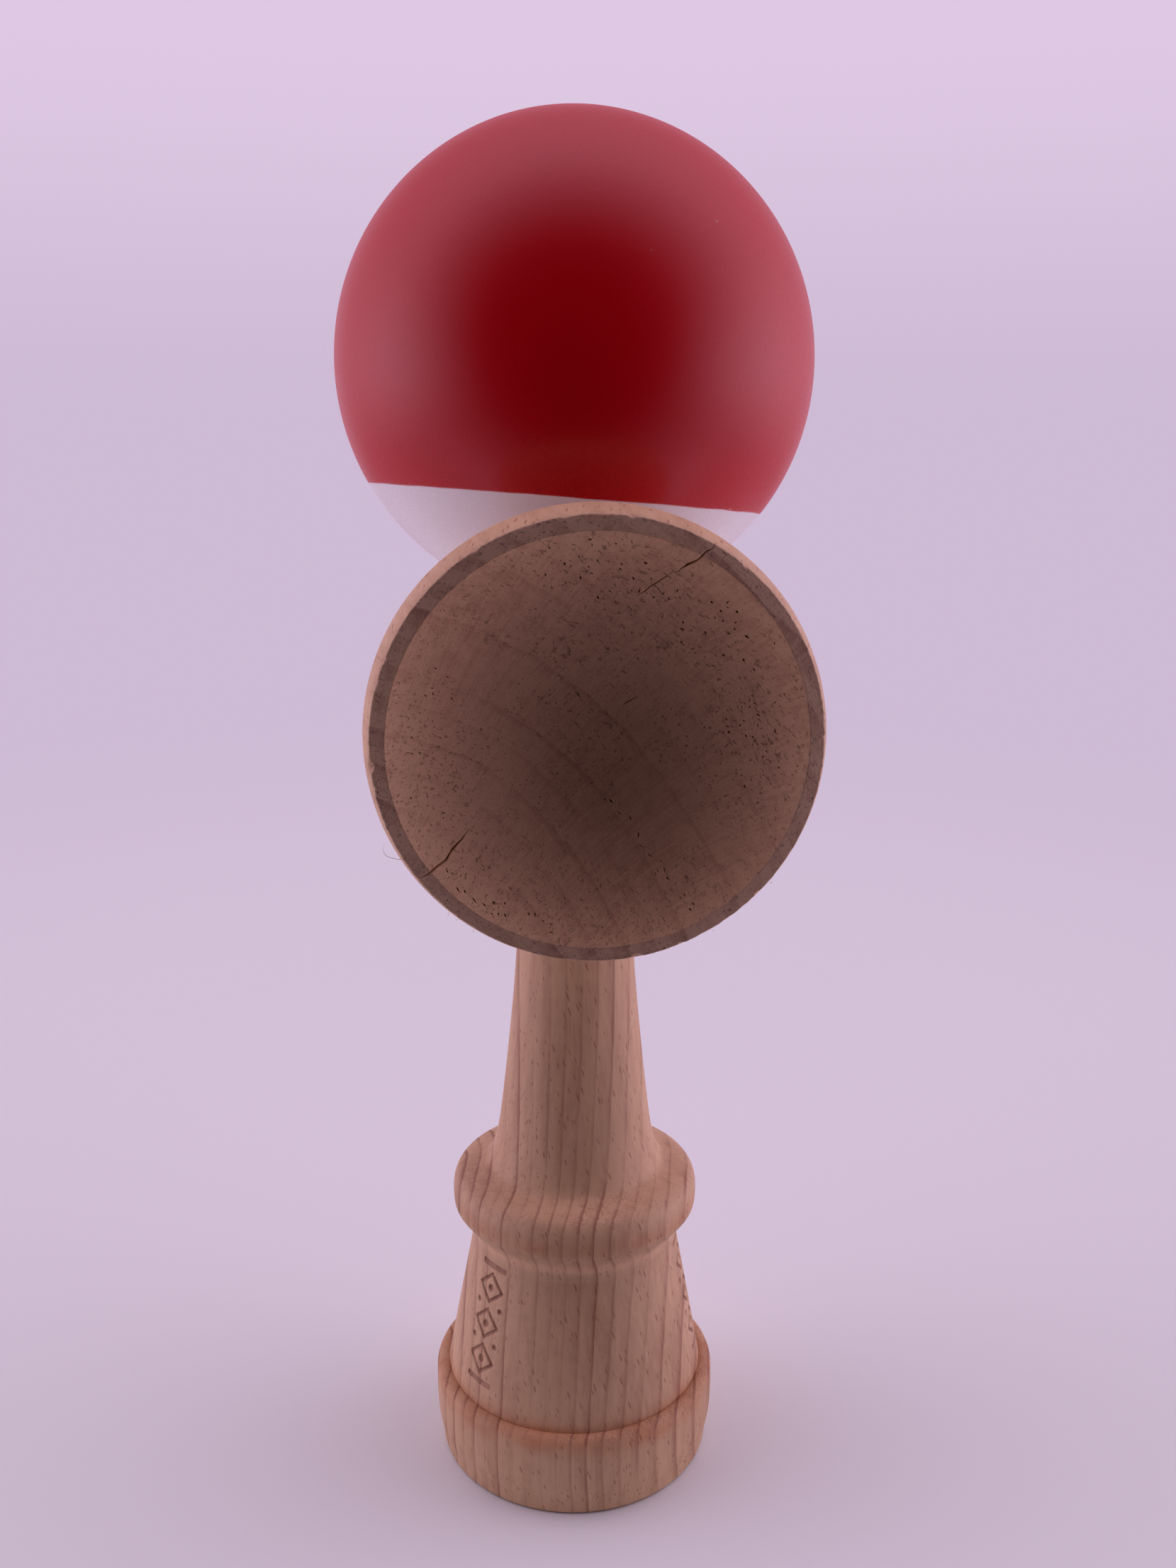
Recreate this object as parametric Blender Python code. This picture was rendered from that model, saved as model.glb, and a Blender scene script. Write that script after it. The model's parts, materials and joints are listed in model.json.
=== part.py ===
"""A kendama: a turned wooden handle with a spike and a base cup (ken), a cross-piece with two
cups pushed on it (sarado), and a painted, pierced ball sitting on the spike (tama) with the
swivel bead for its string inside.

Units are metres. +Z is up along the ken, whose base stands on Z = 0. The sarado lies along Y,
with its big cup towards -Y.
"""

import math

import bmesh
import bpy
from mathutils import Euler, Vector

MM = 0.001
SEGMENTS = 40  # sides of each large turned piece
BEAD_SEGMENTS = 20
GAP = 0.3 * MM  # clearance between pieces that touch

# Ken: heights from the base and radii
BASE_RIM_INNER = 17.2 * MM
BASE_RIM_OUTER = 18.9 * MM
BASE_CUP_DEPTH = 7.5 * MM
RING_FOOT_RADIUS = 19.7 * MM
RING_RADIUS = 20.5 * MM
RING_TOP = 12.5 * MM
GROOVE_RADIUS = 18.35 * MM
GROOVE_HEIGHT = 11.95 * MM
BODY_TOP_RADIUS = 14.75 * MM
BODY_TOP = 33.2 * MM
COLLAR_RADIUS = 17.5 * MM
COLLAR_LOW = 38.9 * MM
COLLAR_HIGH = 42.6 * MM
NECK_FOOT_RADIUS = 10.9 * MM
NECK_FOOT = 50.0 * MM
NECK_TOP_RADIUS = 7.3 * MM
SPIKE_FOOT_RADIUS = 6.0 * MM
SPIKE_FOOT = 127.5 * MM
SPIKE_TIP_RADIUS = 3.0 * MM
SPIKE_TIP = 167.0 * MM

# Sarado: distances along its own axis from the middle of the ken, and radii
SARADO_HEIGHT = 114.2 * MM
WAIST_RADIUS = 11.2 * MM
BIG_CUP_REACH = 40.2 * MM
BIG_CUP_RIM = 24.4 * MM
BIG_CUP_LIP = 22.6 * MM
BIG_CUP_DEPTH = 10.5 * MM
SMALL_CUP_REACH = 39.2 * MM
SMALL_CUP_RIM = 21.9 * MM
SMALL_CUP_LIP = 20.2 * MM
SMALL_CUP_DEPTH = 9.0 * MM
LIP_BEVEL = 0.5 * MM  # how far the inner edge of a cup's lip stands in front of its outer edge
SEAT_RADIUS = 6.5 * MM  # ken inside the sarado, at its lower end
SEAT_FOOT = SARADO_HEIGHT - WAIST_RADIUS - GAP

# Tama: along its own axis from its centre, mouth downwards
TAMA_RADIUS = 30.0 * MM
TAMA_CENTRE = Vector((-0.2 * MM, 0.2 * MM, 154.5 * MM))
TAMA_LEAN = Euler((math.radians(-3.0), math.radians(4.4), 0.0))
MOUTH_RADIUS = 11.5 * MM
BORE_RADIUS = 9.2 * MM
BEVEL_DEPTH = 3.6 * MM
BORE_END = 8.0 * MM
CHAMBER_RADIUS = 5.2 * MM
CHAMBER_END = 20.5 * MM
DRILL_POINT = math.radians(31)  # slope of the bore's conical end
PAINT_LINE = -16.5 * MM

# Bead, in the top of the tama's chamber
BEAD_RADIUS = 4.2 * MM
BEAD_LENGTH = 6.6 * MM
STRING_HOLE_RADIUS = 1.6 * MM


def clear_scene():
    for old in list(bpy.data.objects):
        bpy.data.objects.remove(old, do_unlink=True)


def material(name, colour, roughness, coat=0.0):
    made = bpy.data.materials.new(name)
    made.use_nodes = True
    shader = made.node_tree.nodes["Principled BSDF"]
    shader.inputs["Base Color"].default_value = (*colour, 1.0)
    shader.inputs["Roughness"].default_value = roughness
    shader.inputs["Metallic"].default_value = 0.0
    shader.inputs["Coat Weight"].default_value = coat
    made.diffuse_color = (*colour, 1.0)
    return made


def arc(centre, radius, start, end, steps):
    """Points of an arc, angles in degrees from +r towards +z, both ends included."""
    turns = (math.radians(start + (end - start) * i / steps) for i in range(steps + 1))
    return [(centre[0] + radius * math.cos(a), centre[1] + radius * math.sin(a)) for a in turns]


def flowing(points, steps):
    """A smooth curve through the points, both ends included, with this many steps to a span."""
    padded = [points[0], *points, points[-1]]
    curve = []
    for before, a, b, after in zip(padded, padded[1:], padded[2:], padded[3:]):
        for i in range(steps):
            t = i / steps
            curve.append(
                tuple(
                    0.5 * (2 * p1 + (p2 - p0) * t + (2 * p0 - 5 * p1 + 4 * p2 - p3) * t**2
                           + (3 * p1 - p0 - 3 * p2 + p3) * t**3)
                    for p0, p1, p2, p3 in zip(before, a, b, after)
                )
            )
    return [*curve, points[-1]]


def dish(lip_radius, lip_height, depth, steps):
    """A spherical hollow from its lip to its middle on the axis, sinking towards -z."""
    radius = (lip_radius**2 + depth**2) / (2 * depth)
    spread = math.degrees(math.asin(lip_radius / radius))
    hollow = arc((0.0, lip_height - depth + radius), radius, spread - 90, -90, steps)
    return [*hollow[:-1], (0.0, lip_height - depth)]


def mirrored(outline):
    """The outline turned upside down, listed the other way round so that it still runs down."""
    return [(r, -z) for r, z in reversed(outline)]


def turned(name, outline, segments, closed=False):
    """A piece turned about its own Z axis from (radius, height) points that run down its outside."""
    mesh = bpy.data.meshes.new(name)
    edges = [(i, i + 1) for i in range(len(outline) - 1)]
    if closed:
        edges.append((len(outline) - 1, 0))
    mesh.from_pydata([(r, 0.0, z) for r, z in outline], edges, [])
    piece = bpy.data.objects.new(name, mesh)
    bpy.context.collection.objects.link(piece)
    lathe = piece.modifiers.new("lathe", "SCREW")
    lathe.axis = "Z"
    lathe.steps = lathe.render_steps = segments
    lathe.use_merge_vertices = True
    lathe.merge_threshold = 0.01 * MM
    return piece


def solid_mesh(piece, sharp_angle=32):
    """Bake the lathe into the mesh, so that its faces can be painted and shaded."""
    evaluated = piece.evaluated_get(bpy.context.evaluated_depsgraph_get())
    mesh = bpy.data.meshes.new_from_object(evaluated)
    piece.modifiers.clear()
    piece.data = mesh
    mesh.shade_smooth()
    mesh.set_sharp_from_angle(angle=math.radians(sharp_angle))
    return piece


def rod_cutter(name, radius, top_radius, start, end):
    """A round cutter from start to end, top_radius wide at its far end."""
    start, end = Vector(start), Vector(end)
    mesh = bpy.data.meshes.new(name)
    shape = bmesh.new()
    bmesh.ops.create_cone(
        shape, cap_ends=True, segments=24, radius1=radius, radius2=top_radius,
        depth=(end - start).length,
    )
    shape.to_mesh(mesh)
    shape.free()
    cutter = bpy.data.objects.new(name, mesh)
    bpy.context.collection.objects.link(cutter)
    cutter.location = (start + end) / 2
    cutter.rotation_euler = (end - start).to_track_quat("Z", "Y").to_euler()
    cutter.hide_render = True
    cutter.display_type = "WIRE"
    return cutter


def cut(piece, cutter):
    cutting = piece.modifiers.new(cutter.name, "BOOLEAN")
    cutting.operation = "DIFFERENCE"
    cutting.object = cutter


def seat_radius(height):
    """The ken's radius inside the sarado, which narrows evenly up to the foot of the spike."""
    share = (height - SEAT_FOOT) / (SPIKE_FOOT - SEAT_FOOT)
    return SEAT_RADIUS + (SPIKE_FOOT_RADIUS - SEAT_RADIUS) * share


def spike_outline():
    """Rounded tip and gently bowed flank, down to the foot of the spike."""
    tip = arc((0.0, SPIKE_TIP - SPIKE_TIP_RADIUS), SPIKE_TIP_RADIUS, 90, 8, 4)
    tip[0] = (0.0, SPIKE_TIP)
    bow = 0.35 * MM
    length = tip[-1][1] - SPIKE_FOOT
    flank = []
    for i in range(1, 5):
        share = i / 5
        straight = tip[-1][0] + (SPIKE_FOOT_RADIUS - tip[-1][0]) * share
        flank.append((straight + bow * math.sin(math.pi * share), tip[-1][1] - length * share))
    return [*tip, *flank, (SPIKE_FOOT_RADIUS, SPIKE_FOOT)]


def neck_outline():
    """From the shoulder that carries the sarado down to the foot of the neck."""
    soft_edge = 0.5 * MM
    span = SEAT_FOOT - NECK_FOOT
    return [
        (SEAT_RADIUS, SEAT_FOOT),
        (NECK_TOP_RADIUS - soft_edge, SEAT_FOOT),
        *flowing(
            [
                (NECK_TOP_RADIUS, SEAT_FOOT - soft_edge),
                (NECK_TOP_RADIUS + 0.3 * MM, NECK_FOOT + 0.72 * span),
                (NECK_TOP_RADIUS + 1.1 * MM, NECK_FOOT + 0.44 * span),
                (NECK_TOP_RADIUS + 2.3 * MM, NECK_FOOT + 0.2 * span),
                (NECK_FOOT_RADIUS - 0.45 * MM, NECK_FOOT + 3.2 * MM),
                (NECK_FOOT_RADIUS, NECK_FOOT),
            ],
            2,
        ),
    ]


def collar_outline():
    """The slip-stop collar: a hollow sweep out of the neck, a rounded top, an upright face."""
    return flowing(
        [
            (NECK_FOOT_RADIUS + 0.6 * MM, NECK_FOOT - 2.6 * MM),
            (NECK_FOOT_RADIUS + 1.6 * MM, NECK_FOOT - 4.7 * MM),
            (COLLAR_RADIUS - 3.4 * MM, COLLAR_HIGH + 1.6 * MM),
            (COLLAR_RADIUS - 1.6 * MM, COLLAR_HIGH + 1.0 * MM),
            (COLLAR_RADIUS - 0.4 * MM, COLLAR_HIGH),
            (COLLAR_RADIUS, COLLAR_HIGH - 1.4 * MM),
            (COLLAR_RADIUS - 0.1 * MM, COLLAR_LOW),
            (COLLAR_RADIUS - 1.75 * MM, COLLAR_LOW - 2.6 * MM),
            (BODY_TOP_RADIUS + 0.2 * MM, BODY_TOP + 1.7 * MM),
            (BODY_TOP_RADIUS, BODY_TOP),
        ],
        2,
    )


def body_outline():
    """The straight cone below the collar, to the narrow groove above the ring."""
    body_foot = GROOVE_HEIGHT + 0.5 * MM
    body_foot_radius = GROOVE_RADIUS + 0.3 * MM
    rows = 4
    cone = [
        (
            BODY_TOP_RADIUS + (body_foot_radius - BODY_TOP_RADIUS) * i / rows,
            BODY_TOP + (body_foot - BODY_TOP) * i / rows,
        )
        for i in range(1, rows + 1)
    ]
    return [*cone, (GROOVE_RADIUS, GROOVE_HEIGHT)]


def base_outline():
    """The ring with its rounded crest, the flat rim it stands on and the base cup under it."""
    crest = 1.3 * MM
    foot = RING_FOOT_RADIUS - BASE_RIM_OUTER
    hollow = dish(BASE_RIM_INNER, 0.0, BASE_CUP_DEPTH, 6)
    return [
        *arc((RING_RADIUS - 0.05 * MM - crest, RING_TOP - crest), crest, 118, 0, 4),
        (RING_RADIUS, 8.5 * MM),
        (RING_RADIUS - 0.15 * MM, 5.0 * MM),
        *arc((BASE_RIM_OUTER, foot), foot, 0, -90, 3),
        *((r, -z) for r, z in hollow),
    ]


def make_ken(wood):
    outline = [
        *spike_outline(),
        *neck_outline(),
        *collar_outline(),
        *body_outline(),
        *base_outline(),
    ]
    ken = solid_mesh(turned("ken", outline, SEGMENTS))
    ken.data.materials.append(wood)
    reach = 2 * SEAT_RADIUS
    cut(
        ken,
        rod_cutter(
            "ken_string_hole", STRING_HOLE_RADIUS, STRING_HOLE_RADIUS,
            (-reach, 0.0, SARADO_HEIGHT), (reach, 0.0, SARADO_HEIGHT),
        ),
    )
    return ken


def cup_outline(reach, rim, lip, depth):
    """One half of the sarado, from the middle of its cup round the lip to just before the waist."""
    edge = reach - LIP_BEVEL
    swell = rim + 0.8 * MM
    hollow = dish(lip, reach, depth, 6)
    wall = flowing(
        [
            (rim, edge),
            (swell - 0.15 * MM, edge - 2.5 * MM),
            (swell, edge - 5.5 * MM),
            (swell - 1.4 * MM, edge - 8.8 * MM),
            (WAIST_RADIUS + 0.42 * (swell - WAIST_RADIUS), edge - 17.2 * MM),
            (WAIST_RADIUS + 0.6 * MM, edge - 25.6 * MM),
            (WAIST_RADIUS, edge - 33.0 * MM),
        ],
        2,
    )
    soft = 0.45 * MM
    return [*reversed(hollow), (lip + soft, reach), (rim - soft, edge + soft), *wall]


def make_sarado(wood):
    big = cup_outline(BIG_CUP_REACH, BIG_CUP_RIM, BIG_CUP_LIP, BIG_CUP_DEPTH)
    small = cup_outline(SMALL_CUP_REACH, SMALL_CUP_RIM, SMALL_CUP_LIP, SMALL_CUP_DEPTH)
    outline = [*big, *mirrored(small)]
    sarado = solid_mesh(turned("sarado", outline, SEGMENTS))
    sarado.data.materials.append(wood)
    sarado.location = (0.0, 0.0, SARADO_HEIGHT)
    sarado.rotation_euler = (math.radians(90), 0.0, 0.0)
    below, above = SARADO_HEIGHT - 1.5 * WAIST_RADIUS, SARADO_HEIGHT + 1.5 * WAIST_RADIUS
    cut(
        sarado,
        rod_cutter(
            "sarado_bore", seat_radius(below) + GAP, seat_radius(above) + GAP,
            (0.0, 0.0, below), (0.0, 0.0, above),
        ),
    )
    cut(
        sarado,
        rod_cutter(
            "sarado_string_hole", STRING_HOLE_RADIUS, STRING_HOLE_RADIUS,
            (0.0, 0.0, SARADO_HEIGHT), (2 * WAIST_RADIUS, 0.0, SARADO_HEIGHT),
        ),
    )
    return sarado


def tama_outline():
    """Down the outside of the ball, into its bevelled mouth and up the bore to the string hole."""
    top = math.degrees(math.acos(STRING_HOLE_RADIUS / TAMA_RADIUS))
    line = math.degrees(math.asin(PAINT_LINE / TAMA_RADIUS))
    mouth = -math.degrees(math.acos(MOUTH_RADIUS / TAMA_RADIUS))
    mouth_height = TAMA_RADIUS * math.sin(math.radians(mouth))
    soft = 0.5 * MM
    cone_end = BORE_END + (BORE_RADIUS - CHAMBER_RADIUS) * math.tan(DRILL_POINT)
    return [
        *arc((0.0, 0.0), TAMA_RADIUS, top, line, 13),
        *arc((0.0, 0.0), TAMA_RADIUS, line, mouth, 4)[1:],
        (MOUTH_RADIUS - soft, mouth_height - 0.4 * soft),
        (BORE_RADIUS + soft, mouth_height + BEVEL_DEPTH - soft),
        (BORE_RADIUS, mouth_height + BEVEL_DEPTH + soft),
        (BORE_RADIUS, -8.0 * MM),
        (BORE_RADIUS, BORE_END),
        (CHAMBER_RADIUS, cone_end),
        (CHAMBER_RADIUS, CHAMBER_END),
        (STRING_HOLE_RADIUS, CHAMBER_END),
    ]


def make_tama(red, white):
    tama = solid_mesh(turned("tama", tama_outline(), SEGMENTS, closed=True))
    tama.data.materials.append(red)
    tama.data.materials.append(white)
    for face in tama.data.polygons:
        face.material_index = int(face.center.z < PAINT_LINE)
    tama.location = TAMA_CENTRE
    tama.rotation_euler = TAMA_LEAN
    return tama


def bead_outline():
    """A barrel bead with a drilled string hole, rounded at both ends."""
    half = BEAD_LENGTH / 2
    end_radius = STRING_HOLE_RADIUS + 0.8 * MM
    belly = flowing(
        [(end_radius, half), (0.86 * BEAD_RADIUS, 0.72 * half), (BEAD_RADIUS, 0.0),
         (0.86 * BEAD_RADIUS, -0.72 * half), (end_radius, -half)],
        2,
    )
    return [(STRING_HOLE_RADIUS, half), *belly, (STRING_HOLE_RADIUS, -half)]


def make_bead(wood):
    bead = solid_mesh(turned("swivel_bead", bead_outline(), BEAD_SEGMENTS, closed=True))
    bead.data.materials.append(wood)
    up = Vector((0.0, 0.0, 1.0))
    up.rotate(TAMA_LEAN)
    bead.location = TAMA_CENTRE + up * (CHAMBER_END - GAP - BEAD_LENGTH / 2)
    bead.rotation_euler = TAMA_LEAN
    return bead


def main():
    clear_scene()
    beech = material("beech", (0.42, 0.235, 0.165), 0.55)
    end_grain = material("beech_sarado", (0.36, 0.19, 0.135), 0.6)
    red = material("red_paint", (0.42, 0.012, 0.03), 0.38, coat=0.2)
    white = material("white_paint", (0.72, 0.64, 0.67), 0.42, coat=0.2)
    bead_wood = material("bead_wood", (0.5, 0.33, 0.2), 0.5)
    make_ken(beech)
    make_sarado(end_grain)
    make_tama(red, white)
    make_bead(bead_wood)


main()
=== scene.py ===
"""The looks of the kendama: finely turned beech for the handle (ken) and the cross-piece
(sarado), a satin painted ball (tama) and its bead, standing on a plain pale floor.

Lengths are written in millimetres where a name says so and are turned into metres by MM.
Each turned piece is built in its own frame, with its turning axis along its own Z, and is then
put where the frame says.
"""

import json
import math

import bmesh
import bpy
import numpy as np
from mathutils import Matrix, Vector


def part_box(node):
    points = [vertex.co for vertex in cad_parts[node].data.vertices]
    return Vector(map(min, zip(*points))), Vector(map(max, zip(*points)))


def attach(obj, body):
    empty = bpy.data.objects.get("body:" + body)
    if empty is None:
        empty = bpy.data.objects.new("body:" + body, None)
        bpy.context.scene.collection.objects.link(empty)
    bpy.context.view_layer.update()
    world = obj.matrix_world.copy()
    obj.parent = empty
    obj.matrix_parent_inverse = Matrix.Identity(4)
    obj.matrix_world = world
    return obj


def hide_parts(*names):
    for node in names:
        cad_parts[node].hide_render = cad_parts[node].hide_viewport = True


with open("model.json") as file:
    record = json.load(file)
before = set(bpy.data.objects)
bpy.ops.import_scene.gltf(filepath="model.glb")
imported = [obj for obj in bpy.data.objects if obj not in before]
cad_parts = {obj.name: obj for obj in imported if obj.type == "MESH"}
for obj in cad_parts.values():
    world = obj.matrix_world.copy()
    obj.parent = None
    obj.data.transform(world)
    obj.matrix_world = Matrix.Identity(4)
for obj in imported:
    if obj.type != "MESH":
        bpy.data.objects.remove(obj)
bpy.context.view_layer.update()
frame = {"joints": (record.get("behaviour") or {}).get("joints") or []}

MM = 0.001

# Ken outline, in millimetres: heights from the base and radii
BASE_RIM_INNER = 17.2
BASE_RIM_OUTER = 18.9
BASE_CUP_DEPTH = 7.5
RING_FOOT_RADIUS = 19.7
RING_RADIUS = 20.5
RING_TOP = 12.5
GROOVE_RADIUS = 18.35
GROOVE_HEIGHT = 11.95
BODY_TOP_RADIUS = 14.75
BODY_TOP = 33.2
COLLAR_RADIUS = 17.5
COLLAR_LOW = 38.9
COLLAR_HIGH = 42.6
NECK_FOOT_RADIUS = 10.9
NECK_FOOT = 50.0
NECK_TOP_RADIUS = 7.3
SEAT_RADIUS = 6.5
SPIKE_FOOT_RADIUS = 6.0
SPIKE_FOOT = 127.5
SPIKE_TIP_RADIUS = 3.0

# Sarado outline, in millimetres: distances along its axis from the middle of the ken and radii
WAIST_RADIUS = 11.2
BIG_CUP_RIM = 24.4
BIG_CUP_LIP = 22.6
BIG_CUP_DEPTH = 10.5
SMALL_CUP_RIM = 21.9
SMALL_CUP_LIP = 20.2
SMALL_CUP_DEPTH = 9.0
LIP_BEVEL = 0.5
GAP = 0.3

# Tama and bead, in millimetres along the ball's own axis from its centre
TAMA_RADIUS = 30.0
MOUTH_RADIUS = 11.5
BORE_RADIUS = 9.2
BEVEL_DEPTH = 3.6
BORE_END = 8.0
CHAMBER_RADIUS = 5.2
CHAMBER_END = 20.5
DRILL_POINT = math.radians(31)
PAINT_LINE = -16.5
PAINT_STEP = 0.05
PAINT_SOFT = 0.10
BEAD_RADIUS = 4.2
BEAD_LENGTH = 6.6
STRING_HOLE_RADIUS = 1.6

# Fineness of the turned meshes: sides round each piece, millimetres along its outline
KEN_SIDES = 320
SARADO_SIDES = 440
TAMA_SIDES = 360
BEAD_SIDES = 96
KEN_SPACING = 0.45
ORNAMENT_SPACING = 0.17
SARADO_SPACING = 0.5
TAMA_SPACING = 0.8
SHARP_ANGLE = math.radians(35)

# Places read from the frame
JOINTS = {joint["name"]: joint for joint in frame["joints"]}
TAMA_CENTRE = Vector(JOINTS["tama_spin"]["pos_m"])
TAMA_AXIS = Vector(JOINTS["tama_spin"]["axis"]).normalized()
SARADO_LOW, SARADO_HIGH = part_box("sarado")
SARADO_HEIGHT = (SARADO_LOW.z + SARADO_HIGH.z) / 2
BIG_CUP_REACH = -SARADO_LOW.y / MM
SMALL_CUP_REACH = SARADO_HIGH.y / MM
SPIKE_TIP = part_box("ken")[1].z / MM
SEAT_FOOT = SARADO_HEIGHT / MM - WAIST_RADIUS - GAP

# Camera: place in metres, aim in degrees, lens on a 36 mm frame
CAMERA_PLACE = (-0.0118, -0.1874, 0.1473)
CAMERA_HEADING = 4.12
CAMERA_DOWN = 14.12
CAMERA_ROLL = 0.25
CAMERA_LENS = 32.79

# Marks on the ken, in millimetres and radians round it: burnt ornaments and small dents
ORNAMENT_HEIGHT = 24.2
ORNAMENTS = (math.radians(270 - 53), math.radians(270 + 79))
# degrees round the ken, height and width of each dent
DENTS = ((232, 11.0, 0.9), (296, 40.6, 0.6), (318, 11.2, 0.7), (70, 10.9, 0.9), (160, 41.0, 0.8))

# Cracks across the big cup: from and to (degrees, radius), then width and depth, in millimetres
CRACKS = (
    ((60.5, 24.9), (66.5, 19.6), 0.17, 1.5),
    ((66.5, 19.9), (74.0, 15.8), 0.13, 1.0),
    ((69.5, 17.6), (65.0, 17.0), 0.10, 0.6),
    ((-143.7, 24.6), (-143.7, 17.2), 0.20, 1.5),
    ((38.0, 4.2), (35.5, 6.2), 0.15, 0.6),
)
# Rows of torn grain: from and to (degrees, radius), how many pits, their length and their spread
TORN = (
    ((-80, 7.9), (-60, 22.2), 34, 0.55, 0.30),
    ((-143, 21.7), (-120, 21.9), 12, 0.65, 0.35),
    ((-125, 21.4), (-103, 21.6), 12, 0.45, 0.60),
    ((118, 4.9), (104, 3.4), 5, 0.95, 0.40),
    ((84, 18.0), (40, 19.2), 44, 0.45, 1.9),
    ((110, 19.3), (86, 20.6), 30, 0.40, 1.3),
    ((28, 15.5), (-12, 19.0), 32, 0.42, 1.7),
    ((-166, 18.5), (155, 19.0), 16, 0.36, 1.6),
)

# Loose fibres: degrees round the cup, length and thickness in millimetres, sideways curl
FIBRES = (
    (-150.0, 2.6, 0.045, -0.85),
    (-131.5, 0.7, 0.05, 0.4),
    (-128.6, 0.5, 0.05, -0.3),
    (-123.8, 0.6, 0.04, 0.5),
    (-39.5, 0.5, 0.05, 0.4),
    (-58.5, 0.45, 0.05, -0.4),
)

# Tent and floor: linear colours, strengths, degrees from the opening, metres on the floor
TENT_COLOUR = (1.27, 1.00, 1.33)
TENT_OPENING = (-0.07, -0.98, 0.16)
TENT_DARK_UNTIL = 40
TENT_BRIGHT_FROM = 92
TENT_SIDE = 1.92
TENT_TOP = 1.15
TENT_BACK = 0.57
TENT_BELOW = 0.80
BACKDROP_LOW = (0.614, 0.491, 0.655)
BACKDROP_HIGH = (0.730, 0.578, 0.766)
FLOOR_COLOUR = (0.82, 0.855, 0.83)
FLOOR_RADIUS = 1.2
# The floor is whole as far as FLOOR_FADE from a point FLOOR_SHIFT behind the toy and gone at
# FLOOR_END; towards the front it is whole as far as FLOOR_FRONT and gone at FLOOR_FRONT_END
FLOOR_SHIFT = 0.08
FLOOR_FADE = 0.14
FLOOR_END = 0.46
FLOOR_FRONT = 0.035
FLOOR_FRONT_END = 0.085

# Wood and paint: linear colours
BEECH_LIGHT = (0.67, 0.433, 0.25)
BEECH_DARK = (0.375, 0.188, 0.101)
END_TONE = (0.72, 0.64, 0.64)
KEN_END_TONE = (0.92, 0.90, 0.88)
# Painted shade: a darker, greyer tint on the flat cup rims, which face the dark front
RIM_SHADE_TONE = (0.86, 0.92, 0.98)
# Wear on the base ring's crest, and painted shade on the collar's upright face, which turns to the
# dark front
RUBBED_AND_SHADE_TONE = (0.92, 0.72, 0.62)
# Painted light: a lighter band on the cove under the collar, where light from the floor falls
COVE_LIGHT_TONE = (1.24, 1.22, 1.25)
BURNT = (0.27, 0.112, 0.072)
FLECK = tuple(c * k for c, k in zip(BEECH_DARK, (0.80, 0.58, 0.50)))
PIT = tuple(c * 0.35 for c in BEECH_DARK)
WOOD_ROUGHNESS = 0.48
WOOD_BUMP = 0.08 * MM
RED_LOW = (0.490, 0.0003, 0.0050)
RED_HIGH = (0.535, 0.0006, 0.0075)
WHITE_LOW = (0.90, 0.87, 0.87)
WHITE_HIGH = (0.93, 0.90, 0.90)
SPECK = (0.75, 0.62, 0.62)
PAINT_ROUGHNESS = 0.27
PAINT_BUMP = 0.01 * MM


# ---------------------------------------------------------------- outlines


def arc(centre, radius, start, end, steps):
    """Points of an arc, angles in degrees from +r towards +z, both ends included."""
    turns = np.radians(np.linspace(start, end, steps + 1))
    return [(centre[0] + radius * math.cos(a), centre[1] + radius * math.sin(a)) for a in turns]


def flowing(points, steps):
    """A smooth curve through the points, both ends included, with this many steps to a span."""
    padded = [points[0], *points, points[-1]]
    curve = []
    for before, a, b, after in zip(padded, padded[1:], padded[2:], padded[3:]):
        for i in range(steps):
            t = i / steps
            curve.append(
                tuple(
                    0.5 * (2 * p1 + (p2 - p0) * t + (2 * p0 - 5 * p1 + 4 * p2 - p3) * t**2
                           + (3 * p1 - p0 - 3 * p2 + p3) * t**3)
                    for p0, p1, p2, p3 in zip(before, a, b, after)
                )
            )
    return [*curve, points[-1]]


def dish(lip_radius, lip_height, depth, steps):
    """A spherical hollow from its lip to its middle on the axis, sinking towards -z."""
    radius = (lip_radius**2 + depth**2) / (2 * depth)
    spread = math.degrees(math.asin(lip_radius / radius))
    hollow = arc((0.0, lip_height - depth + radius), radius, spread - 90, -90, steps)
    return [*hollow[:-1], (0.0, lip_height - depth)]


def dense(points, spacing):
    """The same outline with its long straight stretches divided."""
    filled = [points[0]]
    for a, b in zip(points, points[1:]):
        pieces = max(1, math.ceil(math.dist(a, b) / spacing))
        filled += [
            (a[0] + (b[0] - a[0]) * i / pieces, a[1] + (b[1] - a[1]) * i / pieces)
            for i in range(1, pieces + 1)
        ]
    return filled


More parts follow.
